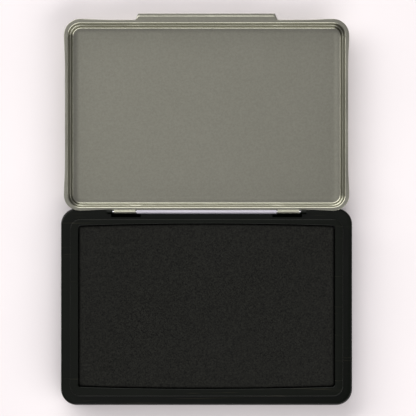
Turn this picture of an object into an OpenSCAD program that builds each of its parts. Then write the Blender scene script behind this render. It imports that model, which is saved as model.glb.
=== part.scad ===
// Ink pad with a hinged metal lid, shown opened flat.
// Origin: centre of the base's underside. +X right, +Y towards the hinge, +Z up.
// All sizes are in millimetres.

/* [Base] */
// Width of the moulded base
base_w = 120.8; // [119.8:0.2:126]
// Depth of the moulded base
base_d = 81.6; // [81.6:0.2:84]
// Corner radius of the base
base_r = 6.6; // [4:0.2:9]
// Height of the flat ledge that the lid's flange closes on
ledge_h = 8.6; // [8:0.2:10]
// Thickness of the outer wall
wall_t = 1.8; // [1.4:0.1:1.9]
// Thickness of the floor under the pad
floor_t = 1.8; // [1.2:0.1:2.2]
// Depth of the recess in the underside
foot_h = 1.2; // [0.6:0.1:1.6]

/* [Frame] */
// Height of the raised frame above the ledge
frame_h = 3.8; // [3.4:0.1:4.2]
// Thickness of the frame's top
frame_top_t = 1.1; // [0.8:0.1:1.4]
// Thickness of the frame's skirt
frame_skirt_t = 0.8; // [0.6:0.1:0.9]
// How far the long bars bow out at the middle
bow = 0.85; // [0:0.05:0.9]

/* [Pad] */
// Depth of the pad's surface below the frame's top
pad_drop = 0.8; // [0.5:0.1:1.4]
// Gap between the frame's edge and the pad
pad_gap = 0.5; // [0.3:0.1:0.8]
// Thickness of the cover cloth
cloth_t = 0.35; // [0.2:0.05:0.5]
// Thickness of the backing plate
plate_t = 0.85; // [0.6:0.05:1.2]
// Thickness of the felt
felt_t = 3.05; // [2.4:0.05:3.6]

/* [Lid] */
// Thickness of the tinplate
tin_t = 0.28; // [0.2:0.02:0.3]
// Width of the flange beyond the wall's inner face
flange_w = 1.4; // [1.2:0.05:1.5]
// Width of the shoulder between wall and panel
shoulder_w = 0.85; // [0.8:0.05:1]
// Radius of the sweep from the upper wall to the panel
sweep_r = 1.0; // [0.8:0.1:2]
// Width of the finger lip at its root
lip_w = 59; // [40:1:70]
// How far the finger lip stands out from the flange
lip_out = 2.4; // [1.6:0.1:3]

/* [Hinge] */
// Diameter of the hinge rod
rod_d = 1.1; // [1:0.05:1.1]
// Outer diameter of the spacer sleeve between the knuckles
sleeve_d = 1.6; // [1.5:0.05:1.6]
// Length of each knuckle
knuckle_len = 9; // [7:0.2:9.4]
// Distance from the middle to the centre of each knuckle
knuckle_x = 33.9; // [33.6:0.1:34.2]

/* [View] */
// Lid angle: 0 lies open, 180 is closed over the pad
lid_angle = 0; // [0:5:180]

/* [Hidden] */
$fn = 48;
e = 0.01;
run = 0.05;                                  // radial clearance of the hinge

axis_y = 39.3;                               // hinge axis
axis_z = ledge_h + 0.3;
seat_gap = 0.1;                              // closed flange above the ledge
lid_h = 2 * axis_z - ledge_h - seat_gap;     // lid's overall height
lid_top = ledge_h + seat_gap + lid_h;        // height when closed

ring_x = 56.5;                               // raised frame, outer faces
ring_y1 = 36.3;
ring_y0 = -36.95;
ring_r = 4.2;
frame_z = ledge_h + frame_h;
open_x = 53.1;                               // opening in the frame
open_y1 = 33.7;
open_y0 = -33.1;
open_r = 1.0;

up_t = 0.95;                                 // tray's upstand inside the frame
up_gap = 0.05;
up_out = frame_skirt_t + up_gap;
up_in = up_out + up_t;
floor_z = foot_h + floor_t;                  // pad rests here
pad_z = frame_z - pad_drop;

plate_z0 = floor_z + cloth_t;
plate_z1 = plate_z0 + plate_t;
felt_z1 = pad_z - cloth_t;
felt_z0 = felt_z1 - felt_t;

slot_x0 = 27.3;                              // knuckle slots in the ledge
slot_x1 = 39.6;
slot_y0 = 36.7;
slot_z = 6.8;
chan_z = 5.4;                                // coring under the ledge
rib_t = 1.4;                                 // ribs under the floor
rib_x = 27;
boss_r = 6;
ear_r = 0.9;
ear_x0 = 39.0;                               // the ears reach into the slots
ear_x1 = 41.4;
rod_x = 41.0;
sleeve_x = knuckle_x - knuckle_len / 2 - 0.35;

in_x = 57.3;                                 // lid wall, inner faces, lid closed
in_y1 = 37.15;
in_y0 = -39.2;
in_r = 4.9;
shoulder_z = 13.1;
flange_y1 = 38.4;                            // rear edge of the flange
knuckle_ri = rod_d / 2 + run;
knuckle_ro = knuckle_ri + tin_t;

// Rectangle with true round corners, given by its four sides.
module round_rect(x0, x1, y0, y1, r) {
    translate([x0 + r, y0]) square([x1 - x0 - 2 * r, y1 - y0]);
    translate([x0, y0 + r]) square([x1 - x0, y1 - y0 - 2 * r]);
    for (x = [x0 + r, x1 - r], y = [y0 + r, y1 - r])
        translate([x, y]) circle(r = r);
}

module slab(x0, x1, y0, y1, r, z0, z1)
    translate([0, 0, z0]) linear_extrude(height = z1 - z0)
        round_rect(x0, x1, y0, y1, r);

// Outline of the frame's opening, moved inwards by d: long sides bow out.
function bow_y(x, w, y, b) = y + b * (1 - pow(x / w, 2));
function quarter(cx, cy, r, a0, n = 4) =
    [for (i = [0:n]) [cx + r * cos(a0 + 90 * i / n), cy + r * sin(a0 + 90 * i / n)]];
function opening_points(d, r) =
    let (w = open_x - d, y1 = open_y1 - d, y0 = open_y0 + d, n = 10)
    concat(
        quarter(w - r, y1 - r, r, 0),
        [for (i = [1:n - 1]) let (x = (w - r) * (1 - 2 * i / n)) [x, bow_y(x, w - r, y1, bow)]],
        quarter(-w + r, y1 - r, r, 90),
        quarter(-w + r, y0 + r, r, 180),
        [for (i = [1:n - 1]) let (x = (w - r) * (2 * i / n - 1)) [x, bow_y(x, w - r, y0, -bow)]],
        quarter(w - r, y0 + r, r, 270));
module pad_slab(d, r, z0, z1)
    translate([0, 0, z0]) linear_extrude(height = z1 - z0)
        polygon(opening_points(d, r));

module bar_x(r, x0, x1, y, z)
    translate([x0, y, z]) rotate([0, 90, 0]) cylinder(r = r, h = x1 - x0);

module at_both_sides() {
    children();
    mirror([1, 0, 0]) children();
}

module ear() {
    bar_x(ear_r, ear_x0, ear_x1, axis_y, axis_z);
    translate([ear_x0, axis_y - ear_r, slot_z - 1])
        cube([ear_x1 - ear_x0, 2 * ear_r, axis_z - slot_z + 1]);
}

module base_tray() color([0.09, 0.10, 0.09]) difference() {
    union() {
        slab(-base_w / 2, base_w / 2, -base_d / 2, base_d / 2, base_r, 0, ledge_h);
        // upstand that the frame caps
        slab(-ring_x + up_out, ring_x - up_out, ring_y0 + up_out, ring_y1 - up_out,
             ring_r - up_out, ledge_h - 1, frame_z - frame_top_t - up_gap);
        // ears that hold the rod's ends
        at_both_sides() {
            ear();
        }
    }
    // well for the pad
    slab(-ring_x + up_in, ring_x - up_in, ring_y0 + up_in, ring_y1 - up_in,
         ring_r - up_in, floor_z, frame_z + 1);
    // recess under the floor, with stiffening ribs and a round middle boss left in it
    difference() {
        slab(-ring_x + up_in, ring_x - up_in, ring_y0 + up_in, ring_y1 - up_in,
             ring_r - up_in, -1, foot_h);
        translate([-60, -rib_t / 2, -2]) cube([120, rib_t, 4]);
        for (x = [-rib_x, 0, rib_x])
            translate([x - rib_t / 2, -45, -2]) cube([rib_t, 90, 4]);
        translate([0, 0, -2]) cylinder(r = boss_r, h = 4);
    }
    // coring under the ledge, round the well
    difference() {
        slab(-base_w / 2 + wall_t, base_w / 2 - wall_t, -base_d / 2 + wall_t,
             base_d / 2 - wall_t, base_r - wall_t, -1, chan_z);
        slab(-ring_x + 0.2, ring_x - 0.2, ring_y0 + 0.2, ring_y1 - 0.2,
             ring_r - 0.2, -2, chan_z + 1);
    }
    // knuckle slots, open to the back
    at_both_sides() difference() {
        translate([slot_x0, slot_y0, slot_z]) cube([slot_x1 - slot_x0, base_d, ledge_h]);
        ear();
    }
    // trough for the sleeve
    bar_x(sleeve_d / 2 + 0.1, -slot_x0 - 1, slot_x0 + 1, axis_y, axis_z);
    // blind holes for the rod's ends
    at_both_sides()
        bar_x(rod_d / 2 + run, ear_x0 - 1, rod_x + 0.1, axis_y, axis_z);
}

module pad_frame() color([0.10, 0.11, 0.10]) difference() {
    slab(-ring_x, ring_x, ring_y0, ring_y1, ring_r, ledge_h, frame_z);
    slab(-ring_x + frame_skirt_t, ring_x - frame_skirt_t, ring_y0 + frame_skirt_t,
         ring_y1 - frame_skirt_t, ring_r - frame_skirt_t,
         ledge_h - 1, frame_z - frame_top_t);
    pad_slab(0, open_r, ledge_h - 1, frame_z + 1);
}

module pad_cloth() color([0.14, 0.14, 0.13]) difference() {
    union() {
        pad_slab(pad_gap, 1.2, floor_z, pad_z - 0.9);
        pad_slab(pad_gap + 0.25, 1.2, pad_z - 1, pad_z - 0.35);
        pad_slab(pad_gap + 0.8, 1.2, pad_z - 0.5, pad_z);
    }
    pad_slab(pad_gap + cloth_t, 0.85, plate_z0, felt_z1 - 0.9);
    pad_slab(pad_gap + cloth_t + 0.25, 0.85, plate_z0, felt_z1 - 0.35);
    pad_slab(pad_gap + cloth_t + 0.8, 0.85, plate_z0, felt_z1);
    // the tucked edge leaves the middle of the plate bare
    pad_slab(pad_gap + 8, 2, floor_z - 1, plate_z0 + e);
}

module felt_core() color([0.16, 0.15, 0.16]) {
    pad_slab(pad_gap + cloth_t, 0.85, felt_z0, felt_z1 - 0.9);
    pad_slab(pad_gap + cloth_t + 0.25, 0.85, felt_z0, felt_z1 - 0.35);
    pad_slab(pad_gap + cloth_t + 0.8, 0.85, felt_z0, felt_z1);
}

module sponge_reservoir() color([0.25, 0.24, 0.27])
    pad_slab(pad_gap + cloth_t, 0.85, plate_z1, felt_z0);

module backing_plate() color([0.55, 0.53, 0.48])
    pad_slab(pad_gap + cloth_t, 0.85, plate_z0, plate_z1);

module hinge_rod() color([0.72, 0.72, 0.74])
    bar_x(rod_d / 2, -rod_x, rod_x, axis_y, axis_z);

module hinge_sleeve() color([0.80, 0.79, 0.83]) difference() {
    bar_x(sleeve_d / 2, -sleeve_x, sleeve_x, axis_y, axis_z);
    bar_x(rod_d / 2 + run, -sleeve_x - 1, sleeve_x + 1, axis_y, axis_z);
}

// Section of the lid's rim, closed. u runs inwards from the wall's inner face,
// the second coordinate is height. The inner line comes first, then the outer.
function arc(cx, cy, r, a0, a1, n) =
    [for (i = [0:n]) let (a = a0 + (a1 - a0) * i / n) [cx + r * cos(a), cy + r * sin(a)]];
fz = ledge_h + seat_gap;
rim_b = 0.5;                                 // bend between flange and wall
rim_s = 0.22;                                // bend into the shoulder
rim_c = 0.38;                                // bend off the shoulder
function rim_inner() = concat(
    [[-flange_w, fz]],
    arc(-rim_b, fz + rim_b, rim_b, -90, 0, 3),
    arc(rim_s, shoulder_z - rim_s, rim_s, 180, 90, 3),
    arc(shoulder_w - rim_c, shoulder_z + rim_c, rim_c, -90, 0, 3),
    arc(shoulder_w + sweep_r, lid_top - tin_t - sweep_r, sweep_r, 180, 90, 6));
function rim_outer() = concat(
    arc(shoulder_w + sweep_r, lid_top - tin_t - sweep_r, sweep_r + tin_t, 90, 180, 6),
    arc(shoulder_w - rim_c, shoulder_z + rim_c, rim_c - tin_t, 0, -90, 3),
    arc(rim_s, shoulder_z - rim_s, rim_s + tin_t, 90, 180, 3),
    arc(-rim_b, fz + rim_b, rim_b - tin_t, 0, -90, 3),
    [[-flange_w, fz + tin_t]]);
module rim_section() polygon(concat(rim_inner(), rim_outer()));

// One straight side of the rim, of length len, centred, wall towards +X.
module rim_side(len)
    rotate([90, 0, 0]) translate([0, 0, -len / 2])
        linear_extrude(height = len) mirror([1, 0]) rim_section();
module rim_corner()
    rotate_extrude(angle = 90) translate([in_r, 0]) mirror([1, 0]) rim_section();

module lid_closed() {
    cx = in_x - in_r;
    cy1 = in_y1 - in_r;
    cy0 = in_y0 + in_r;
    mid = (cy1 + cy0) / 2;
    difference() {
        union() {
            translate([in_x, mid, 0]) rim_side(cy1 - cy0);
            translate([-in_x, mid, 0]) rotate([0, 0, 180]) rim_side(cy1 - cy0);
            translate([0, in_y1, 0]) rotate([0, 0, 90]) rim_side(2 * cx);
            translate([0, in_y0, 0]) rotate([0, 0, -90]) rim_side(2 * cx);
            translate([cx, cy1, 0]) rim_corner();
            translate([-cx, cy1, 0]) rotate([0, 0, 90]) rim_corner();
            translate([-cx, cy0, 0]) rotate([0, 0, 180]) rim_corner();
            translate([cx, cy0, 0]) rotate([0, 0, 270]) rim_corner();
            // panel
            slab(-in_x + shoulder_w + sweep_r - e, in_x - shoulder_w - sweep_r + e,
                 in_y0 + shoulder_w + sweep_r - e, in_y1 - shoulder_w - sweep_r + e,
                 in_r - shoulder_w - sweep_r + e, lid_top - tin_t, lid_top);
            // finger lip with a folded edge
            translate([0, 0, fz]) linear_extrude(height = tin_t)
                polygon([[-lip_w / 2, in_y0 - flange_w + 0.5], [lip_w / 2, in_y0 - flange_w + 0.5],
                         [lip_w / 2 - 1.2, in_y0 - flange_w - lip_out],
                         [-lip_w / 2 + 1.2, in_y0 - flange_w - lip_out]]);
            translate([-lip_w / 2 + 1.2, in_y0 - flange_w - lip_out, fz])
                cube([lip_w - 2.4, 0.6, 2 * tin_t]);
        }
        // the flange is narrower along the hinge
        translate([-100, flange_y1, 0]) cube([200, 10, 30]);
    }
    // knuckles curled from the flange
    at_both_sides() difference() {
        union() {
            bar_x(knuckle_ro, knuckle_x - knuckle_len / 2, knuckle_x + knuckle_len / 2,
                  axis_y, axis_z);
            translate([knuckle_x - knuckle_len / 2, flange_y1 - 0.2, fz])
                cube([knuckle_len, axis_y - flange_y1 + 0.2 - knuckle_ri, tin_t]);
        }
        bar_x(knuckle_ri, 0, 60, axis_y, axis_z);
    }
}

module lid_shell() color([0.48, 0.47, 0.42])
    translate([0, axis_y, axis_z]) rotate([lid_angle - 180, 0, 0])
        translate([0, -axis_y, -axis_z]) lid_closed();

base_tray();
pad_frame();
pad_cloth();
felt_core();
sponge_reservoir();
backing_plate();
hinge_rod();
hinge_sleeve();
lid_shell();
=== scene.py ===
import bpy, bmesh, math, random
import numpy as np
from mathutils import Vector, Matrix


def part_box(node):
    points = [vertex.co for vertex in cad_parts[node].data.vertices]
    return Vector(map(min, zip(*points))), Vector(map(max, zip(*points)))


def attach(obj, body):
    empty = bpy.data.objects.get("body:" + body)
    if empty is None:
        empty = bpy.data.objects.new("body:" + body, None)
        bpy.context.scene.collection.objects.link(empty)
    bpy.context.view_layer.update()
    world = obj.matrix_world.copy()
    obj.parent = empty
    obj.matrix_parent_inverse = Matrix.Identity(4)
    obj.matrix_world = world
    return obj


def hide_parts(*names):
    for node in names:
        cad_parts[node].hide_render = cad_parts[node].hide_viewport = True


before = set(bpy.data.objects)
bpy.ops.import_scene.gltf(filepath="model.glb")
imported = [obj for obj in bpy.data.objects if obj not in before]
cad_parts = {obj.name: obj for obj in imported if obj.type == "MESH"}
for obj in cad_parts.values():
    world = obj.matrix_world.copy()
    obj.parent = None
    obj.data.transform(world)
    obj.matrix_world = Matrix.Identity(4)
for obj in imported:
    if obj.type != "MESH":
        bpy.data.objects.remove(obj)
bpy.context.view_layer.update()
MM = 0.001
AX_Y, AX_Z = 39.3, 8.9            # hinge axis, mm
random.seed(4)


# ---------------------------------------------------------------- mesh helpers
def box_mm(node):
    lo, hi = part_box(node)
    return [v * 1000 for v in lo], [v * 1000 for v in hi]


class Rect:
    """Rounded rectangle whose loops all have the same points: right side up, top side leftwards, and on round."""

    def __init__(self, x0, x1, y0, y1, r, nc=8, fx=None, fy=None, grow=0.0):
        self.x0, self.x1, self.y0, self.y1, self.r, self.nc = x0, x1, y0, y1, r, nc
        self.fx = fx if fx is not None else [i / 24 for i in range(1, 24)]
        self.fy = fy if fy is not None else [i / 16 for i in range(1, 16)]

    def loop(self, d, z, r=None, bow=0.0):
        """The outline moved inwards by d, at height z."""
        x0, x1, y0, y1 = self.x0 + d, self.x1 - d, self.y0 + d, self.y1 - d
        r = max(self.r - d, 0.02) if r is None else r
        p = []

        def arc(cx, cy, a0):
            for i in range(self.nc + 1):
                a = math.radians(a0 + 90 * i / self.nc)
                p.append((cx + r * math.cos(a), cy + r * math.sin(a)))
        for f in self.fy:
            p.append((x1, y0 + r + f * (y1 - y0 - 2 * r)))
        arc(x1 - r, y1 - r, 0)
        for f in self.fx:
            x = x1 - r - f * (x1 - x0 - 2 * r)
            p.append((x, y1 + bow * (1 - (2 * f - 1) ** 2)))
        arc(x0 + r, y1 - r, 90)
        for f in self.fy:
            p.append((x0, y1 - r - f * (y1 - y0 - 2 * r)))
        arc(x0 + r, y0 + r, 180)
        for f in self.fx:
            x = x0 + r + f * (x1 - x0 - 2 * r)
            p.append((x, y0 - bow * (1 - (2 * f - 1) ** 2)))
        arc(x1 - r, y0 + r, 270)
        a = np.array(p, float)
        zz = np.full((len(a), 1), float(z))
        return np.hstack([a, zz])

    def fill(self, lp, height=None):
        """Points and faces that close a loop lp: a grid inside it. Faces index lp's points from 0 and the grid's from len(lp)."""
        nx, ny, nc = len(self.fx) + 1, len(self.fy) + 1, self.nc
        n = len(lp)
        iy = len(self.fy)
        # the loop's own straight-side ends
        c_tr0 = iy                       # first point of the top right arc
        top0 = c_tr0 + nc + 1
        c_tl0 = top0 + len(self.fx)
        left0 = c_tl0 + nc + 1
        c_bl0 = left0 + iy
        bot0 = c_bl0 + nc + 1
        c_br0 = bot0 + len(self.fx)
        g = lambda i, j: n + j * (nx + 1) + i
        pts = np.zeros(((nx + 1) * (ny + 1), 3))
        xr, xl = lp[c_tr0 + nc][0], lp[c_tl0][0]
        yt, yb = lp[c_tr0][1], lp[c_br0 + nc][1]
        xs = [xl] + [lp[bot0 + k][0] for k in range(len(self.fx))] + [xr]
        bow_t = [0.0] + [lp[top0 + len(self.fx) - 1 - k][1] - lp[c_tr0 + nc][1] for k in range(len(self.fx))] + [0.0]
        bow_b = [0.0] + [lp[bot0 + k][1] - lp[c_br0][1] for k in range(len(self.fx))] + [0.0]
        ys = [yb] + [lp[k][1] for k in range(iy)] + [yt]
        z = float(np.mean(lp[:, 2]))
        for j, y in enumerate(ys):
            t = (y - yb) / (yt - yb)
            for i, x in enumerate(xs):
                yy = y + bow_t[i] * t + bow_b[i] * (1 - t)
                pts[j * (nx + 1) + i] = (x, yy, z if height is None else height(x, yy))
        owner = []
        owner += [g(nx, k + 1) for k in range(iy)]
        owner += [g(nx, ny)] * (nc + 1)
        owner += [g(nx - 1 - k, ny) for k in range(len(self.fx))]
        owner += [g(0, ny)] * (nc + 1)
        owner += [g(0, ny - 1 - k) for k in range(iy)]
        owner += [g(0, 0)] * (nc + 1)
        owner += [g(k + 1, 0) for k in range(len(self.fx))]
        owner += [g(nx, 0)] * (nc + 1)
        faces = []
        for k in range(n):
            m = (k + 1) % n
            if owner[k] == owner[m]:
                faces.append((k, m, owner[k]))
            else:
                faces.append((k, m, owner[m], owner[k]))
        for j in range(ny):
            for i in range(nx):
                faces.append((g(i, j), g(i + 1, j), g(i + 1, j + 1), g(i, j + 1)))
        return pts, faces


def skin(loops, close=False):
    """Vertices and quads that join loops in order."""
    n = len(loops[0])
    v = np.vstack(loops)
    f = []
    last = len(loops) if close else len(loops) - 1
    for a in range(last):
        b = (a + 1) % len(loops)
        for k in range(n):
            m = (k + 1) % n
            f.append((a * n + k, a * n + m, b * n + m, b * n + k))
    return v, f


def add_fill(v, f, rect, index, n, height=None):
    lp = v[index * n:(index + 1) * n]
    pts, ff = rect.fill(lp, height)
    base = len(v)
    remap = lambda i: index * n + i if i < n else base + i - n
    f += [tuple(remap(i) for i in q) for q in ff]
    return np.vstack([v, pts]), f


def make(name, v, f, body=None, smooth=30, weld=1e-4):
    """A mesh object from millimetre points, with its faces turned outwards."""
    me = bpy.data.meshes.new(name)
    me.from_pydata([tuple(p) for p in (np.asarray(v, float) * MM)], [], [list(q) for q in f])
    bm = bmesh.new()
    bm.from_mesh(me)
    bmesh.ops.remove_doubles(bm, verts=bm.verts, dist=weld * MM)
    bmesh.ops.dissolve_degenerate(bm, dist=1e-9, edges=bm.edges)
    bmesh.ops.recalc_face_normals(bm, faces=bm.faces)
    bm.to_mesh(me)
    bm.free()
    ob = bpy.data.objects.new(name, me)
    bpy.context.scene.collection.objects.link(ob)
    return ob


def smooth(ob, angle=32, weighted=True):
    me = ob.data
    me.polygons.foreach_set("use_smooth", [True] * len(me.polygons))
    me.set_sharp_from_angle(angle=math.radians(angle))
    if weighted:
        m = ob.modifiers.new("weighted", "WEIGHTED_NORMAL")
        m.keep_sharp = True
        m.weight = 80
    me.update()


def bake_modifiers(ob):
    """Applies every modifier, so that the mesh is final."""
    dg = bpy.context.evaluated_depsgraph_get()
    bpy.context.view_layer.update()
    me = bpy.data.meshes.new_from_object(ob.evaluated_get(dg))
    old = ob.data
    ob.modifiers.clear()
    ob.data = me
    me.name = ob.name
    bpy.data.meshes.remove(old)


def boolean(ob, tool, op="DIFFERENCE"):
    m = ob.modifiers.new("bool", "BOOLEAN")
    m.operation = op
    m.solver = "EXACT"
    m.object = tool
    bake_modifiers(ob)
    bpy.data.objects.remove(tool)


def bevel(ob, width, segments=2, angle=40):
    m = ob.modifiers.new("bevel", "BEVEL")
    m.width = width * MM
    m.segments = segments
    m.limit_method = "ANGLE"
    m.angle_limit = math.radians(angle)
    m.use_clamp_overlap = True
    bake_modifiers(ob)


def block(name, x0, x1, y0, y1, z0, z1):
    v = [(x, y, z) for z in (z0, z1) for y in (y0, y1) for x in (x0, x1)]
    f = [(0, 2, 3, 1), (4, 5, 7, 6), (0, 1, 5, 4), (2, 6, 7, 3), (0, 4, 6, 2), (1, 3, 7, 5)]
    return make(name, v, f)


def turned(name, profile, y, z, n=40, x_dir=1):
    """A solid of revolution about a line along X. profile is a closed list of (x, radius); radius 0 is the axis."""
    rings = []
    for (x, r) in profile:
        rings.append([(x, y + r * math.cos(2 * math.pi * k / n), z + r * math.sin(2 * math.pi * k / n)) for k in range(n)])
    v = np.array([p for ring in rings for p in ring])
    f = []
    for a in range(len(rings) - 1):
        for k in range(n):
            m = (k + 1) % n
            f.append((a * n + k, a * n + m, (a + 1) * n + m, (a + 1) * n + k))
    return v, f


def filleted(pts, radii, steps):
    """A polyline whose inner corners are rounded."""
    out = [tuple(pts[0])]
    for k, (r, n) in enumerate(zip(radii, steps)):
        a, b, c = (np.array(q, float) for q in pts[k:k + 3])
        d0, d1 = (b - a) / np.linalg.norm(b - a), (c - b) / np.linalg.norm(c - b)
        turn = math.atan2(d0[0] * d1[1] - d0[1] * d1[0], float(d0 @ d1))
        side = 1 if turn > 0 else -1
        start = b - d0 * r * math.tan(abs(turn) / 2)
        centre = start + np.array([-d0[1], d0[0]]) * r * side
        v0 = start - centre
        for i in range(n + 1):
            t = turn * i / n
            out.append((centre[0] + v0[0] * math.cos(t) - v0[1] * math.sin(t), centre[1] + v0[0] * math.sin(t) + v0[1] * math.cos(t)))
    out.append(tuple(pts[-1]))
    return out


def offset_line(pts, d):
    """The polyline moved d to its left."""
    p = np.array(pts, float)
    seg = np.diff(p, axis=0)
    seg /= np.linalg.norm(seg, axis=1)[:, None]
    tg = np.vstack([seg[:1], seg[:-1] + seg[1:], seg[-1:]])
    tg /= np.linalg.norm(tg, axis=1)[:, None]
    return [(float(a - t[1] * d), float(b + t[0] * d)) for (a, b), t in zip(p, tg)]


def arc(cx, cz, r, a0, a1, n):
    return [(cx + r * math.cos(math.radians(a0 + (a1 - a0) * i / n)),
             cz + r * math.sin(math.radians(a0 + (a1 - a0) * i / n))) for i in range(n + 1)]


# ---------------------------------------------------------------- materials
def srgb(r, g, b):
    def one(c):
        c /= 255
        return c / 12.92 if c <= 0.04045 else ((c + 0.055) / 1.055) ** 2.4
    return (one(r), one(g), one(b), 1.0)


class Mat:
    def __init__(self, name):
        self.m = bpy.data.materials.new(name)
        self.m.use_nodes = True
        self.nt = self.m.node_tree
        self.nt.nodes.clear()
        self.out = self.nt.nodes.new("ShaderNodeOutputMaterial")
        self.b = self.nt.nodes.new("ShaderNodeBsdfPrincipled")
        self.nt.links.new(self.b.outputs[0], self.out.inputs[0])
        self.tc = self.nt.nodes.new("ShaderNodeTexCoord")

    def link(self, a, b):
        self.nt.links.new(a, b)

    def mapped(self, scale=(1, 1, 1), rot=(0, 0, 0), loc=(0, 0, 0)):
        n = self.nt.nodes.new("ShaderNodeMapping")
        n.inputs["Scale"].default_value = scale
        n.inputs["Rotation"].default_value = rot
        n.inputs["Location"].default_value = loc
        self.link(self.tc.outputs["Object"], n.inputs["Vector"])
        return n.outputs[0]

    def noise(self, vec, scale=1.0, detail=4, rough=0.5, distortion=0.0):
        n = self.nt.nodes.new("ShaderNodeTexNoise")
        n.inputs["Scale"].default_value = scale
        n.inputs["Detail"].default_value = detail
        n.inputs["Roughness"].default_value = rough
        n.inputs["Distortion"].default_value = distortion
        self.link(vec, n.inputs["Vector"])
        return n.outputs["Fac"]

    def ramp(self, fac, stops):
        n = self.nt.nodes.new("ShaderNodeValToRGB")
        e = n.color_ramp.elements
        while len(e) < len(stops):
            e.new(0.5)
        for i, (p, c) in enumerate(stops):
            e[i].position = p
            e[i].color = c if len(c) == 4 else (*c, 1)
        self.link(fac, n.inputs[0])
        return n.outputs[0]

    def maprange(self, fac, a, b, c, d):
        n = self.nt.nodes.new("ShaderNodeMapRange")
        for k, val in zip(("From Min", "From Max", "To Min", "To Max"), (a, b, c, d)):
            n.inputs[k].default_value = val
        self.link(fac, n.inputs["Value"])
        return n.outputs[0]

    def math(self, op, a, b=None, clamp=False):
        n = self.nt.nodes.new("ShaderNodeMath")
        n.operation = op
        n.use_clamp = clamp
        for i, x in enumerate((a, b)):
            if x is None:
                continue
            if isinstance(x, (int, float)):
                n.inputs[i].default_value = x
            else:
                self.link(x, n.inputs[i])
        return n.outputs[0]

    def mix(self, fac, a, b, kind="MIX"):
        n = self.nt.nodes.new("ShaderNodeMix")
        n.data_type = "RGBA"
        n.blend_type = kind
        for sock, x in ((n.inputs[0], fac), (n.inputs[6], a), (n.inputs[7], b)):
            if isinstance(x, (int, float)):
                sock.default_value = x
            elif isinstance(x, tuple):
                sock.default_value = x if len(x) == 4 else (*x, 1)
            else:
                self.link(x, sock)
        return n.outputs[2]

    def bump(self, height, strength, distance, normal=None):
        n = self.nt.nodes.new("ShaderNodeBump")
        n.inputs["Strength"].default_value = strength
        n.inputs["Distance"].default_value = distance
        self.link(height, n.inputs["Height"])
        if normal is not None:
            self.link(normal, n.inputs["Normal"])
        return n.outputs[0]

    def set(self, **kw):
        for k, val in kw.items():
            s = self.b.inputs[k.replace("_", " ")]
            if hasattr(val, "is_linked"):
                self.link(val, s)
            else:
                s.default_value = val
        return self


def tinplate(name, light, dark, rough=0.34, grain=1.0):
    """Lacquered tinplate: satin metal, faint mottling, rolling grain and hairline scuffs."""
    m = Mat(name)
    broad = m.noise(m.mapped((26, 26, 26)), 1, 3, 0.55)
    fine = m.noise(m.mapped((1250, 1250, 1250)), 1, 3, 0.7)
    col = m.mix(m.maprange(broad, 0.3, 0.7, 0, 1), dark, light)
    col = m.mix(m.maprange(fine, 0.35, 0.65, 0.0, 0.34 * grain), col, (0.25, 0.25, 0.205))
    scuff_v = m.mapped((60, 1500, 60), rot=(0, 0, 0.5))
    scuff = m.ramp(m.noise(scuff_v, 1, 2, 0.5, 0.3), [(0.0, (0, 0, 0)), (0.70, (0, 0, 0)), (0.74, (1, 1, 1)), (1.0, (1, 1, 1))])
    scuff_mask = m.ramp(m.noise(m.mapped((38, 38, 38), loc=(3, 1, 0)), 1, 2), [(0.55, (0, 0, 0)), (0.66, (1, 1, 1))])
    scuffs = m.math("MULTIPLY", scuff, scuff_mask)
    r = m.maprange(m.noise(m.mapped((60, 60, 60)), 1, 4), 0.3, 0.7, rough - 0.015, rough + 0.02)
    r = m.math("ADD", r, m.math("MULTIPLY", scuffs, 0.08))
    sep = m.nt.nodes.new("ShaderNodeSeparateXYZ")
    m.link(m.tc.outputs["Object"], sep.inputs[0])
    r = m.math("ADD", r, m.maprange(sep.outputs[2], 0.00014, 0.00024, 0.24, 0.0))     # the lid's outer face is duller
    m.set(Base_Color=col, Roughness=r, Metallic=1.0, Specular_Tint=(0.45, 0.45, 0.44, 1), Normal=m.bump(fine, 0.04, 0.00003))
    return m.m


def moulded(name, colour, rough, speck=0.2, ink=0.0):
    """Black injection moulding: glossy, with faint flow marks, dust and hairline scratches."""
    m = Mat(name)
    flow = m.noise(m.mapped((45, 45, 45)), 1, 4, 0.6)
    col = m.mix(m.maprange(flow, 0.3, 0.7, 0, 1), colour, tuple(c * 1.35 for c in colour[:3]) + (1,))
    dust = m.ramp(m.noise(m.mapped((2600, 2600, 2600)), 1, 2, 0.6), [(0.0, (0, 0, 0)), (0.72, (0, 0, 0)), (0.78, (1, 1, 1))])
    col = m.mix(m.math("MULTIPLY", dust, speck), col, (0.10, 0.10, 0.10))
    hair = m.ramp(m.noise(m.mapped((38, 1900, 38), rot=(0, 0, 0.06)), 1, 2, 0.5, 0.2), [(0.0, (0, 0, 0)), (0.66, (0, 0, 0)), (0.71, (1, 1, 1))])
    r = m.maprange(m.noise(m.mapped((70, 70, 70)), 1, 5, 0.6), 0.3, 0.7, rough - 0.04, rough + 0.07)
    r = m.math("ADD", r, m.math("MULTIPLY", hair, 0.12))
    patch = m.ramp(m.noise(m.mapped((32, 32, 32), loc=(1.7, 0.4, 0)), 1, 3, 0.6), [(0.0, (0, 0, 0)), (0.47, (0, 0, 0)), (0.60, (1, 1, 1))])
    col = m.mix(m.math("MULTIPLY", m.math("MULTIPLY", hair, patch), 0.6), col, (0.032, 0.029, 0.018))     # wear on the gloss
    h = m.math("ADD", m.math("MULTIPLY", m.noise(m.mapped((120, 120, 120)), 1, 3), 1.0), m.math("MULTIPLY", m.noise(m.mapped((2400, 2400, 2400)), 1, 2), 0.15))
    m.set(Base_Color=col, Roughness=r, IOR=1.5, Specular_IOR_Level=0.155, Normal=m.bump(h, 0.12, 0.00004))
    return m.m


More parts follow.
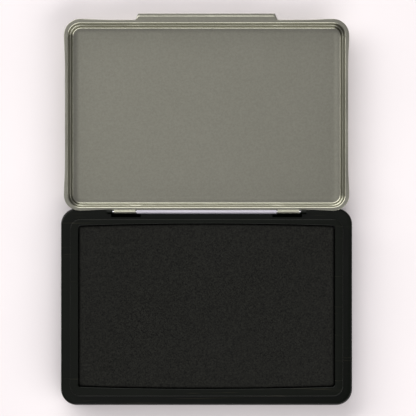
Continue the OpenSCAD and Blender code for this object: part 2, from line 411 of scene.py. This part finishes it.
def woven(name, colour, pitch=0.00042):
    """Plain-weave cotton soaked with black ink."""
    m = Mat(name)
    k = 1 / pitch
    v = m.mapped((k, k, k))
    sep = m.nt.nodes.new("ShaderNodeSeparateXYZ")
    m.link(v, sep.inputs[0])
    x, y = sep.outputs[0], sep.outputs[1]
    wob = m.noise(m.mapped((350, 350, 350)), 1, 3)
    x = m.math("ADD", x, m.math("MULTIPLY", wob, 1.1))
    y = m.math("ADD", y, m.math("MULTIPLY", wob, 0.8))
    sx = m.math("SINE", m.math("MULTIPLY", x, math.pi))
    sy = m.math("SINE", m.math("MULTIPLY", y, math.pi))
    # over and under: the two thread sets take turns at being on top
    warp = m.math("MULTIPLY", m.math("ABSOLUTE", sx), m.math("ADD", m.math("MULTIPLY", m.math("SINE", m.math("MULTIPLY", y, math.pi)), m.math("SIGN", sx)), 1.4))
    weft = m.math("MULTIPLY", m.math("ABSOLUTE", sy), m.math("ADD", m.math("MULTIPLY", m.math("MULTIPLY", m.math("SINE", m.math("MULTIPLY", x, math.pi)), m.math("SIGN", sy)), -1.0), 1.4))
    h = m.math("MAXIMUM", warp, weft)
    slub_v = m.noise(m.mapped((2500, 1300, 400)), 1, 3, 0.6)
    slub_h = m.noise(m.mapped((1300, 2500, 400)), 1, 3, 0.6)
    slub = m.math("MULTIPLY", m.math("ADD", slub_v, slub_h), 0.75)
    wet = m.noise(m.mapped((34, 34, 34)), 1, 4, 0.6)
    col = m.mix(m.maprange(slub, 0.58, 0.92, 0, 1), tuple(c * 0.12 for c in colour[:3]), tuple(c * 2.5 for c in colour[:3]))
    # painted shade: the low valleys between the threads are painted darker, as if in shadow
    col = m.mix(m.maprange(h, 0.2, 2.2, 0.35, 0), col, tuple(c * 0.3 for c in colour[:3]))
    col = m.mix(m.maprange(wet, 0.35, 0.7, 0, 0.08), col, tuple(c * 0.6 for c in colour[:3]))
    r = m.maprange(wet, 0.3, 0.7, 0.88, 0.80)
    hh = m.math("ADD", m.math("MULTIPLY", h, 0.5), m.math("MULTIPLY", slub, 0.6))
    m.set(Base_Color=col, Roughness=r, Sheen_Weight=0.02, Sheen_Roughness=0.5, Specular_IOR_Level=0.13, Normal=m.bump(hh, 0.7, 0.00012))
    return m.m


def fibre(name, colour, scale=900, rough=0.9, strength=0.7):
    m = Mat(name)
    a = m.noise(m.mapped((scale, scale, scale)), 1, 6, 0.65, 0.4)
    b = m.noise(m.mapped((60, 60, 60)), 1, 3)
    col = m.mix(m.maprange(a, 0.3, 0.7, 0, 1), tuple(c * 0.6 for c in colour[:3]), tuple(c * 1.4 for c in colour[:3]))
    m.set(Base_Color=col, Roughness=m.maprange(b, 0.3, 0.7, rough - 0.08, rough), Normal=m.bump(a, strength, 0.0002))
    return m.m


def steel(name):
    m = Mat(name)
    a = m.noise(m.mapped((120, 6000, 6000)), 1, 3, 0.6)
    m.set(Base_Color=m.mix(m.maprange(a, 0.3, 0.7, 0, 1), (0.52, 0.52, 0.54), (0.68, 0.68, 0.70)), Metallic=1.0,
          Roughness=m.maprange(a, 0.3, 0.7, 0.22, 0.34), Normal=m.bump(a, 0.2, 0.00002))
    return m.m


def pale_tube(name):
    m = Mat(name)
    a = m.noise(m.mapped((40, 900, 900)), 1, 3, 0.6)
    smudge = m.ramp(m.noise(m.mapped((110, 400, 400), loc=(5, 0, 0)), 1, 4, 0.65), [(0.0, (0, 0, 0)), (0.60, (0, 0, 0)), (0.80, (1, 1, 1))])
    col = m.mix(m.maprange(a, 0.3, 0.7, 0, 1), srgb(180, 177, 187), srgb(188, 185, 196))
    col = m.mix(m.math("MULTIPLY", smudge, 0.25), col, (0.25, 0.25, 0.29))
    m.set(Base_Color=col, Roughness=m.maprange(a, 0.3, 0.7, 0.42, 0.55), Normal=m.bump(a, 0.15, 0.00003))
    return m.m


M_LID = tinplate("lid_tinplate", (0.398, 0.394, 0.326, 1), (0.383, 0.380, 0.311, 1), 0.30)
M_BASE = moulded("base_plastic", (0.0022, 0.0030, 0.0018, 1), 0.11)
M_FRAME = moulded("frame_plastic", (0.0022, 0.0029, 0.0018, 1), 0.17)
M_CLOTH = woven("inked_cloth", (0.0062, 0.0064, 0.0052, 1))
M_FELT = fibre("inked_felt", (0.02, 0.02, 0.022, 1))
M_FOAM = fibre("ink_foam", (0.03, 0.03, 0.035, 1), 500)
M_PLATE = fibre("plate_plastic", (0.42, 0.40, 0.35, 1), 300, 0.6, 0.1)
M_ROD = steel("rod_steel")
M_SLEEVE = pale_tube("sleeve_plastic")


def dress(ob, mat):
    ob.data.materials.clear()
    ob.data.materials.append(mat)


for node, mat in (("felt_core", M_FELT), ("sponge_reservoir", M_FOAM), ("backing_plate", M_PLATE)):
    dress(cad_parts[node], mat)


# ---------------------------------------------------------------- base tray
FX = [i / 30 for i in range(1, 30)]
FY = [i / 20 for i in range(1, 20)]
B = Rect(-60.4, 60.4, -40.8, 40.8, 6.6, 12, FX, FY)
R = Rect(-56.5, 56.5, -36.95, 36.3, 4.2, 12, FX, FY)


def build_base():
    lo, hi = box_mm("base_tray")
    loops = []
    loops.append(R.loop(0.45, 0.0))
    for a in (30, 60, 90):
        t = math.radians(a)
        loops.append(R.loop(0.45 - 0.25 * math.sin(t), 0.25 * (1 - math.cos(t))))
    loops.append(R.loop(0.25, 5.1))
    loops.append(R.loop(0.0, 5.4))
    loops.append(B.loop(2.1, 5.4))
    loops.append(B.loop(1.85, 5.1))
    loops.append(B.loop(1.8, 0.2))
    loops.append(B.loop(1.6, 0.0))
    loops.append(B.loop(0.60, 0.0))
    for a in (22, 45, 67, 90):
        t = math.radians(a)
        loops.append(B.loop(0.60 - 0.45 * math.sin(t), 0.45 * (1 - math.cos(t))))
    loops.append(B.loop(0.08, 4.0))
    rt = 0.75
    for (dx, z) in arc(rt, 8.6 - rt, rt, 180, 90, 7):
        loops.append(B.loop(dx, z - 0.06 * (1 - (dx / rt)) if dx < rt else z))
    loops.append(B.loop(2.2, 8.6))
    loops.append(R.loop(-0.3, 8.6))
    loops.append(R.loop(0.83, 8.6))
    loops.append(R.loop(0.85, 8.7))
    loops.append(R.loop(0.87, 10.95))
    loops.append(R.loop(1.10, 11.2))
    loops.append(R.loop(1.60, 11.2))
    loops.append(R.loop(1.80, 11.0))
    loops.append(R.loop(1.82, 3.6))
    for (dx, z) in arc(2.42, 3.6, 0.6, 180, 270, 5)[1:]:
        loops.append(R.loop(dx, z))
    n = len(loops[0])
    v, f = skin(loops)
    v, f = add_fill(v, f, R, 0, n)
    v, f = add_fill(v, f, R, len(loops) - 1, n)
    ob = make("base_tray_body", v, f)

    # pockets of the underside, between ribs and the middle boss
    pv, pf = skin([R.loop(2.0, -1.0), R.loop(2.0, 0.0), R.loop(2.12, 1.05), R.loop(2.3, 1.2)])
    nn = len(loops[0])
    pv, pf = add_fill(pv, pf, R, 0, nn)
    pv, pf = add_fill(pv, pf, R, 3, nn)
    pocket = make("pocket", pv, pf)
    boolean(pocket, block("rib", -60, 60, -0.7, 0.7, -2, 3))
    for x in (-27, 0, 27):
        boolean(pocket, block("rib", x - 0.7, x + 0.7, -45, 45, -2, 3))
    tv, tf = [], []
    k = 48
    for z in (-2, 3):
        tv += [(6 * math.cos(2 * math.pi * i / k), 6 * math.sin(2 * math.pi * i / k), z) for i in range(k)]
    tf = [(i, (i + 1) % k, k + (i + 1) % k, k + i) for i in range(k)] + [tuple(range(k))[::-1], tuple(range(k, 2 * k))]
    boolean(pocket, make("boss", tv, tf))
    boolean(ob, pocket)

    # knuckle slots
    for s in (-1, 1):
        x0, x1 = sorted((s * 27.3, s * 39.6))
        boolean(ob, block("slot", x0, x1, AX_Y, 45, 6.8, 12))
        tv, tf = turned("slot", [(x0, 0), (x0, 2.3), (x1, 2.3), (x1, 0)], AX_Y, 9.1, 48)     # round-bottomed, so it stays dark
        boolean(ob, make("slot", tv, tf))
    # trough for the sleeve
    tv, tf = turned("trough", [(-28.3, 0), (-28.3, 0.9), (28.3, 0.9), (28.3, 0)], AX_Y, AX_Z, 32)
    boolean(ob, make("trough", tv, tf))
    # ears for the rod's ends: a rounded block over the axis
    for s in (-1, 1):
        pts = [(AX_Y - 0.9, 6.5)] + [(AX_Y + 0.9 * math.cos(math.radians(a)), AX_Z + 0.9 * math.sin(math.radians(a))) for a in range(180, -1, -15)] + [(AX_Y + 0.9, 6.5)]
        m = len(pts)
        xs = sorted((s * 39.0, s * 41.4))
        ev = [(x, y, z) for x in xs for (y, z) in pts]
        ef = [tuple(range(m)), tuple(range(m, 2 * m))[::-1]] + [(i, (i + 1) % m, m + (i + 1) % m, m + i) for i in range(m)]
        boolean(ob, make("ear", ev, ef), "UNION")
        xs = sorted((s * 38.0, s * 41.1))
        tv, tf = turned("bore", [(xs[0], 0), (xs[0], 0.6), (xs[1], 0.6), (xs[1], 0)], AX_Y, AX_Z, 24)
        boolean(ob, make("bore", tv, tf))
    bevel(ob, 0.13, 2, 42)
    smooth(ob, 34)
    dress(ob, M_BASE)
    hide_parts("base_tray")
    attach(ob, "base")
    return ob


# ---------------------------------------------------------------- frame round the pad
OPEN = Rect(-53.1, 53.1, -33.1, 33.7, 1.0, 12, FX, FY)
BOW = 0.85


def build_frame():
    loops = []
    o = lambda d, z, r=None: OPEN.loop(d, z, r, bow=BOW)
    loops.append(R.loop(0.78, 8.64))
    loops.append(R.loop(0.20, 8.64))
    loops.append(R.loop(0.05, 8.72))
    loops.append(R.loop(0.0, 8.9))
    rt = 0.30
    for (dx, z) in arc(rt, 12.4 - rt, rt, 180, 90, 6):
        loops.append(R.loop(dx, z))
    # slightly crowned top, then the rounded inner edge
    a_out, a_in = R.loop(0.55, 12.4), o(-0.42, 12.385)
    for t in (0.35, 0.65):
        mid = a_out * (1 - t) + a_in * t
        mid[:, 2] = 12.40
        loops.append(mid)
    ri = 0.30
    for (dx, z) in arc(-ri, 12.385 - ri, ri, 90, 0, 5):
        loops.append(o(dx, z, max(1.0 - dx, 0.4)))
    loops.append(o(0.0, 11.42))
    loops.append(o(-0.12, 11.3))
    loops.append(R.loop(1.0, 11.3))
    loops.append(R.loop(0.8, 11.15))
    v, f = skin(loops, close=True)
    ob = make("pad_frame_body", v, f)
    smooth(ob, 34)
    dress(ob, M_FRAME)
    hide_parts("pad_frame")
    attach(ob, "base")
    return ob


# ---------------------------------------------------------------- cover cloth
CFX = [i / 84 for i in range(1, 84)]
CFY = [i / 54 for i in range(1, 54)]
C = Rect(-52.7, 52.7, -32.9, 33.5, 1.2, 8, CFX, CFY)


def hash_noise(x, y, s):
    """Smooth repeatable noise in -1..1."""
    v = 0.0
    for k, (a, b, p) in enumerate(((1.0, 0.37, 0.3), (-0.53, 1.13, 1.9), (0.81, -0.94, 4.1), (1.7, 1.31, 2.2))):
        v += math.sin((a * x + b * y) * s + p + 1.7 * math.sin((b * x - a * y) * s * 0.61 + p * 2.3)) / (1 + 0.5 * k)
    return v / 2.6


def build_cloth():
    top = 11.6

    def height(x, y):
        ex = max(0.0, 1 - (x / 52.6) ** 2)
        ey = max(0.0, 1 - ((y - 0.3) / 33.0) ** 2)
        edge = min(1.0, 6 * min(ex, ey))
        crown = 0.10 * (ex * ey) ** 0.5
        wave = 0.030 * hash_noise(x, y, 0.085) + 0.010 * hash_noise(x, y, 0.31)
        return top + (crown + wave) * edge

    def pucker(lp, amount):
        # gathers where the cloth turns down at its edges, strongest at the corners
        out = lp.copy()
        for i, (x, y, z) in enumerate(lp):
            near = max(abs(x) / 52.6, abs(y - 0.3) / 33.5)
            corner = min(abs(x) / 52.6, abs(y - 0.3) / 33.5)
            s = x + 1.3 * y
            out[i, 2] = z + amount * (0.35 + 0.65 * corner ** 6) * math.sin(s * 1.9 + 1.1 * math.sin(s * 0.37))
        return out
    loops = []
    L = lambda d, z, r=None: C.loop(d, z, r if r is not None else max(1.2 - d * 0.3, 0.5), bow=BOW)
    loops.append(L(3.4, top, 0.6))
    loops.append(pucker(L(2.4, top - 0.005, 0.7), 0.008))
    for (dx, z) in arc(0.8, top - 0.8, 0.8, 90, 180, 7):
        loops.append(pucker(L(dx, z), 0.014))
    loops.append(L(0.0, 8.0))
    loops.append(L(0.0, 3.35))
    loops.append(L(0.12, 3.09))
    loops.append(L(0.35, 3.0))
    loops.append(L(8.0, 3.0, 0.5))
    loops.append(L(8.0, 3.33, 0.5))
    loops.append(L(0.6, 3.33, 0.8))
    loops.append(L(0.34, 3.5, 0.85))
    loops.append(L(0.34, 8.0, 0.85))
    for (dx, z) in arc(0.8, top - 0.8, 0.47, 180, 90, 7):
        loops.append(L(dx, z, 0.9))
    loops.append(L(2.4, top - 0.335, 0.7))
    loops.append(L(3.4, top - 0.33, 0.6))
    n = len(loops[0])
    v, f = skin(loops)
    v, f = add_fill(v, f, C, 0, n, height)
    v, f = add_fill(v, f, C, len(loops) - 1, n, lambda x, y: height(x, y) - 0.33)
    ob = make("pad_cloth_cover", v, f)
    smooth(ob, 60, weighted=False)
    dress(ob, M_CLOTH)
    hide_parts("pad_cloth")
    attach(ob, "base")
    # cut size: face, plus 8.6 mm sides and 8 mm tucked under on each edge
    return ob


# ---------------------------------------------------------------- lid
TIN = 0.28
IN_X, IN_Y1, IN_Y0, IN_R = 57.3, 37.15, -38.95, 4.9
FL = 1.4
FZ = 8.7
TOP = 17.8
SH_W, SH_Z, SWEEP = 0.85, 13.1, 1.0


def build_lid():
    # side points: even, plus the finger lip's corners
    span = IN_X - IN_R
    xs = sorted(set([round(-span + 2 * span * i / 44, 3) for i in range(1, 44)]
                    + [s * q for s in (-1, 1) for q in (29.9, 29.5, 29.1, 28.7, 28.3, 27.9)]))
    fx = [(x + span) / (2 * span) for x in xs]
    fy = [i / 34 for i in range(1, 34)]
    L = Rect(-IN_X, IN_X, IN_Y0, IN_Y1, IN_R, 16, fx, fy)
    n_loop = len(L.loop(0, 0))

    rb = 0.62

    def lip_mask(x, y):
        if y > IN_Y0 + 2:
            return 0.0
        a = abs(x)
        t = min(1.0, max(0.0, (29.5 - a) / 1.2))
        return t

    def shaped(lp, u):
        """Flares the flange's outer part near the corners, and narrows it along the hinge."""
        out = lp.copy()
        k = max(0.0, (-u - 0.5) / (FL - 0.5))          # 0 at the bend, 1 at the flange's edge
        if k <= 0:
            return out
        for i, (x, y, z) in enumerate(lp):
            # distance along the rim from the nearest corner's arc
            dx = max(0.0, span - abs(x))
            cy = y - (IN_Y0 + IN_Y1) / 2
            hy = (IN_Y1 - IN_Y0) / 2 - IN_R
            dy = max(0.0, hy - abs(cy))
            d = dx if abs(cy) > hy else dy
            if abs(x) >= span and abs(cy) >= hy:
                d = 0.0
            flare = 0.42 * math.exp(-(d / 7.0) ** 2) - 0.10
            nx = math.copysign(1, x) if abs(x) >= span - 1e-6 or dy > 0 and abs(x) > span else 0.0
            # outward direction of this loop point
            px = x - max(-span, min(span, x))
            py = y - max(IN_Y0 + IN_R, min(IN_Y1 - IN_R, y))
            ln = math.hypot(px, py)
            if ln < 1e-9:
                continue
            px, py = px / ln, py / ln
            out[i, 0] += px * flare * k
            out[i, 1] += py * flare * k
            out[i, 2] += 0.05 * k * math.sin(0.16 * x + 0.21 * y)
            if py > 0.0:
                # along the hinge the flange is trimmed back
                cut = 0.24 * k * max(0.0, py) ** 3
                out[i, 1] -= cut
        return out

    crown, c0, c1 = 0.42, 1.30, 4.4           # the panel falls away a little towards its edges
    skirt = [(-FL, FZ), (0, FZ), (0.50, SH_Z - 0.10), (0.82, SH_Z + 0.0), (c0, TOP - TIN - crown), (c0 + 1.0, TOP - TIN - crown + 0.26)]
    inner = [(-FL, FZ), (-0.95, FZ)] + filleted(skirt, (rb, 0.06, 0.06, 0.68), (9, 4, 4, 10))[1:-1]
    u_end = inner[-1][0]
    for t in (0.08, 0.2, 0.35, 0.5, 0.65, 0.8, 0.9, 1.0):
        u = u_end + (c1 - u_end) * t
        inner.append((u, TOP - TIN - crown * ((c1 - u) / (c1 - c0)) ** 2))
    outer = offset_line(inner, TIN)[::-1]
    # rounded edge of the sheet, and the curl of the finger lip's edge
    edge = arc(-FL, FZ + TIN / 2, TIN / 2, 90, 270, 6)[1:-1]
    n_edge = len(edge)
    loops, kinds = [], []
    for (u, z) in inner:
        loops.append(shaped(L.loop(u, z), u))
    for (u, z) in outer:
        loops.append(shaped(L.loop(u, z), u))
    for (u, z) in edge:
        loops.append(shaped(L.loop(u, z), -FL))
    n_inner, n_outer = len(inner), len(outer)

    # finger lip: the flange runs out to y -43, and its edge is folded back on the face that shows when the lid is open
    y_tip = -43.0
    last_out = n_inner + n_outer - 1           # outer face at the edge
    hem = [(1.85, 0), (1.42, 0), (1.30, 0.015), (1.20, 0.06), (0.86, 0.21), (0.76, 0.25), (0.60, 0.26), (0.12, 0.26)]
    in_pts = [(y_tip + a, FZ - b) for a, b in hem]
    out_pts = [(y_tip + a, FZ + TIN) for a, b in hem]
    mid = np.mean([in_pts[-1], out_pts[-1]], axis=0)
    half = (np.array(out_pts[-1]) - np.array(in_pts[-1])) / 2
    ahead = np.array([-0.12, 0.0])

    def lipped(lp, pt, base_z):
        """A loop carried out to the lip's point (y, z) where the lip is, and left on the edge elsewhere."""
        out = lp.copy()
        for i in range(n_loop):
            t = lip_mask(out[i, 0], out[i, 1])
            if t > 0:
                out[i, 1] = out[i, 1] * (1 - t) + pt[0] * t
                out[i, 2] = out[i, 2] + (pt[1] - base_z) * t
        return out

    edge_in, edge_out = loops[0].copy(), loops[last_out].copy()

    def run_of(a, b, pts, base_z):
        """Loops from a (root of the flange's outer part) to b (its edge) that follow the curl's points."""
        out = []
        m_ = len(pts)
        for q, pt in enumerate(pts[:-1]):
            f_ = 0.35 + 0.62 * q / (m_ - 1)
            out.append(lipped(a * (1 - f_) + b * f_, pt, base_z))
        return out
    ins_in = run_of(loops[1], edge_in, in_pts, FZ)
    ins_out = run_of(loops[n_inner + n_outer - 2], edge_out, out_pts, FZ + TIN)
    for k in range(n_edge):
        a = math.radians(90 + 180 * (k + 1) / (n_edge + 1))
        pt = mid + half * math.sin(a) + ahead * -math.cos(a)
        loops[n_inner + n_outer + k] = lipped(loops[n_inner + n_outer + k], pt, FZ + TIN / 2 + TIN / 2 * math.sin(a))
    loops[0] = lipped(edge_in, in_pts[-1], FZ)
    loops[last_out] = lipped(edge_out, out_pts[-1], FZ + TIN)
    seq = [loops[k] for k in range(n_inner + n_outer + n_edge)]
    seq = [seq[0]] + ins_in[::-1] + seq[1:n_inner + n_outer - 1] + ins_out + seq[n_inner + n_outer - 1:]
    first_inner_panel = 1 + len(ins_in) + (n_inner - 1) - 1
    # ring of loops is closed except across the panel: inner side ends at panel, outer side starts there
    order = seq[first_inner_panel + 1:] + seq[:first_inner_panel + 1]
    n = n_loop
    v, f = skin(order)

    def dish(z0):
        def h(x, y):
            ex = max(0.0, 1 - (x / 53.3) ** 2)
            ey = max(0.0, 1 - ((y + 1.02) / 34.1) ** 2)
            w = min(1.0, 5 * min(ex, ey))
            return z0 + w * (0.010 * hash_noise(x, y, 0.045) + 0.003 * hash_noise(x, y, 0.15)) - w * 0.04 * ex * ey
        return h
    v, f = add_fill(v, f, L, 0, n, dish(TOP - 0.0))
    v, f = add_fill(v, f, L, len(order) - 1, n, dish(TOP - TIN))
    v[:, 2] = np.minimum(v[:, 2], TOP)
    ob = make("lid_shell_body", v, f)

    # knuckles: the sheet rises over the rod and curls round it
    for s in (-1, 1):
        x0, x1 = sorted((s * 29.35, s * 38.45))
        boolean(ob, block("nick", x0, x1, 37.85, 39.2, 8.2, 9.6))
        cen = []
        p0 = np.array([37.95, FZ + TIN / 2])
        a_in = math.radians(122)
        rm = 0.6 + TIN / 2
        p3 = np.array([AX_Y + rm * math.cos(a_in), AX_Z + rm * math.sin(a_in)])
        tan = np.array([math.sin(a_in), -math.cos(a_in)])
        p1, p2 = p0 + np.array([0.22, 0.0]), p3 - tan * 0.34
        cen.append(np.array([37.55, FZ + TIN / 2]))
        for i in range(9):
            t = i / 9
            cen.append((1 - t) ** 3 * p0 + 3 * (1 - t) ** 2 * t * p1 + 3 * (1 - t) * t * t * p2 + t ** 3 * p3)
        for i in range(33):
            a = a_in - (a_in + math.radians(130)) * i / 32
            cen.append(np.array([AX_Y + rm * math.cos(a), AX_Z + rm * math.sin(a)]))
        cen = np.array(cen)
        tg = np.gradient(cen, axis=0)
        tg /= np.linalg.norm(tg, axis=1)[:, None]
        nr = np.stack([-tg[:, 1], tg[:, 0]], 1)
        left, right = cen + nr * TIN / 2 * 0.985, cen - nr * TIN / 2 * 0.985
        tip = [cen[-1] + tg[-1] * 0.10]
        ring = [tuple(p) for p in left] + [tuple(p) for p in tip] + [tuple(p) for p in right[::-1]]
        m = len(ring)
        x0, x1 = sorted((s * 29.4, s * 38.4))
        kv, kf = [], []
        stations = [(x0, 0.93), (x0 + 0.06, 1.0), (x1 - 0.06, 1.0), (x1, 0.93)]
        cc = np.vstack([cen, np.array(tip) - 0, cen[::-1]])
        for (x, q) in stations:
            for j, (yy, zz) in enumerate(ring):
                c0 = cc[j] if j < len(cc) else cen[0]
                kv.append((x, c0[0] + (yy - c0[0]) * q, c0[1] + (zz - c0[1]) * q))
        for a in range(3):
            for j in range(m):
                b = (j + 1) % m
                kf.append((a * m + j, a * m + b, (a + 1) * m + b, (a + 1) * m + j))
        # end faces as a strip between the two sides of the sheet
        nn = len(left)
        for a, flip in ((0, 1), (3, 0)):
            for j in range(nn - 1):
                q = (a * m + j, a * m + j + 1, a * m + m - 2 - j, a * m + m - 1 - j)
                kf.append(q[::-1] if flip else q)
            q = (a * m + nn - 1, a * m + nn, a * m + nn + 1)
            kf.append(q[::-1] if flip else q)
        boolean(ob, make("knuckle", kv, kf), "UNION")

    # opened flat: half a turn about the hinge axis
    for vert in ob.data.vertices:
        vert.co.y = 2 * AX_Y * MM - vert.co.y
        vert.co.z = 2 * AX_Z * MM - vert.co.z
    smooth(ob, 40)
    dress(ob, M_LID)
    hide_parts("lid_shell")
    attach(ob, "lid")
    return ob


# ---------------------------------------------------------------- rod and sleeve
def build_rod():
    prof = [(-41.0, 0), (-41.0, 0.40), (-40.85, 0.55), (-20, 0.55), (0, 0.55), (20, 0.55), (40.85, 0.55), (41.0, 0.40), (41.0, 0)]
    v, f = turned("rod", prof, AX_Y, AX_Z, 40)
    ob = make("hinge_rod_wire", v, f)
    smooth(ob, 34)
    dress(ob, M_ROD)
    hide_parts("hinge_rod")
    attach(ob, "base")
    x = 29.05
    prof = [(-x, 0.64), (-x, 0.72), (-x + 0.03, 0.77), (-x + 0.1, 0.80)] + [(-x + 0.1 + (2 * x - 0.2) * i / 12, 0.80) for i in range(1, 12)] + \
        [(x - 0.1, 0.80), (x - 0.03, 0.77), (x, 0.72), (x, 0.64), (x - 0.05, 0.60), (-x + 0.05, 0.60), (-x, 0.64)]
    v, f = turned("sleeve", prof, AX_Y, AX_Z, 48)
    sl = make("hinge_sleeve_tube", v, f)
    smooth(sl, 34)
    dress(sl, M_SLEEVE)
    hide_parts("hinge_sleeve")
    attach(sl, "base")


build_base()
build_frame()
build_cloth()
build_lid()
build_rod()

# ---------------------------------------------------------------- stage, light and camera
sc = bpy.context.scene
sc.view_settings.view_transform = "Standard"

fv = [(-900, -900, -0.02), (900, -900, -0.02), (900, 900, -0.02), (-900, 900, -0.02)]
floor = make("floor", fv, [(0, 1, 2, 3)])
fm = Mat("floor_paper")
fn = fm.noise(fm.mapped((14, 14, 14)), 1, 4, 0.5)
fg = fm.noise(fm.mapped((1500, 1500, 1500)), 1, 3, 0.6)
fc = fm.mix(fm.maprange(fn, 0.3, 0.7, 0, 1), srgb(222, 217, 219), srgb(226, 221, 223))
fm.set(Base_Color=fc, Roughness=0.85, Specular_IOR_Level=0.2, Normal=fm.bump(fg, 0.12, 0.00005))
floor.data.materials.append(fm.m)

w = bpy.data.worlds.new("world")
sc.world = w
w.use_nodes = True
bg = w.node_tree.nodes["Background"]
bg.inputs[0].default_value = (0.96, 0.93, 1.0, 1)
bg.inputs[1].default_value = 0.25


def area(name, loc, size, power, colour, target=(0, 0.04, 0)):
    d = bpy.data.lights.new(name, "AREA")
    d.shape = "RECTANGLE"
    d.size, d.size_y = size
    d.energy = power
    d.color = colour
    o = bpy.data.objects.new(name, d)
    sc.collection.objects.link(o)
    o.location = loc
    o.rotation_mode = "QUATERNION"
    o.rotation_quaternion = (Vector(target) - Vector(loc)).to_track_quat("-Z", "Y")
    return o


area("key_back_left", (-0.84, 1.28, 1.02), (3.4, 1.2), 56.0, (1.0, 0.985, 0.96))
area("key_front_right", (0.86, -1.19, 1.02), (3.4, 1.2), 44.0, (1.0, 0.985, 0.96))
area("overhead", (-0.22, 0.15, 2.2), (0.95, 0.9), 1.20, (1.0, 0.985, 0.975))

cam = bpy.data.cameras.new("camera")
co = bpy.data.objects.new("camera", cam)
sc.collection.objects.link(co)
sc.camera = co
CX, CY = 0.0006, 0.04095
DIST, Z_REF, WIDE = 1.5, 0.0100, 0.17241
co.location = (CX, CY, Z_REF + DIST)
co.rotation_euler = (0, 0, 0)
cam.sensor_width = 36
cam.lens = 36 * DIST / WIDE
cam.clip_start, cam.clip_end = 0.05, 20
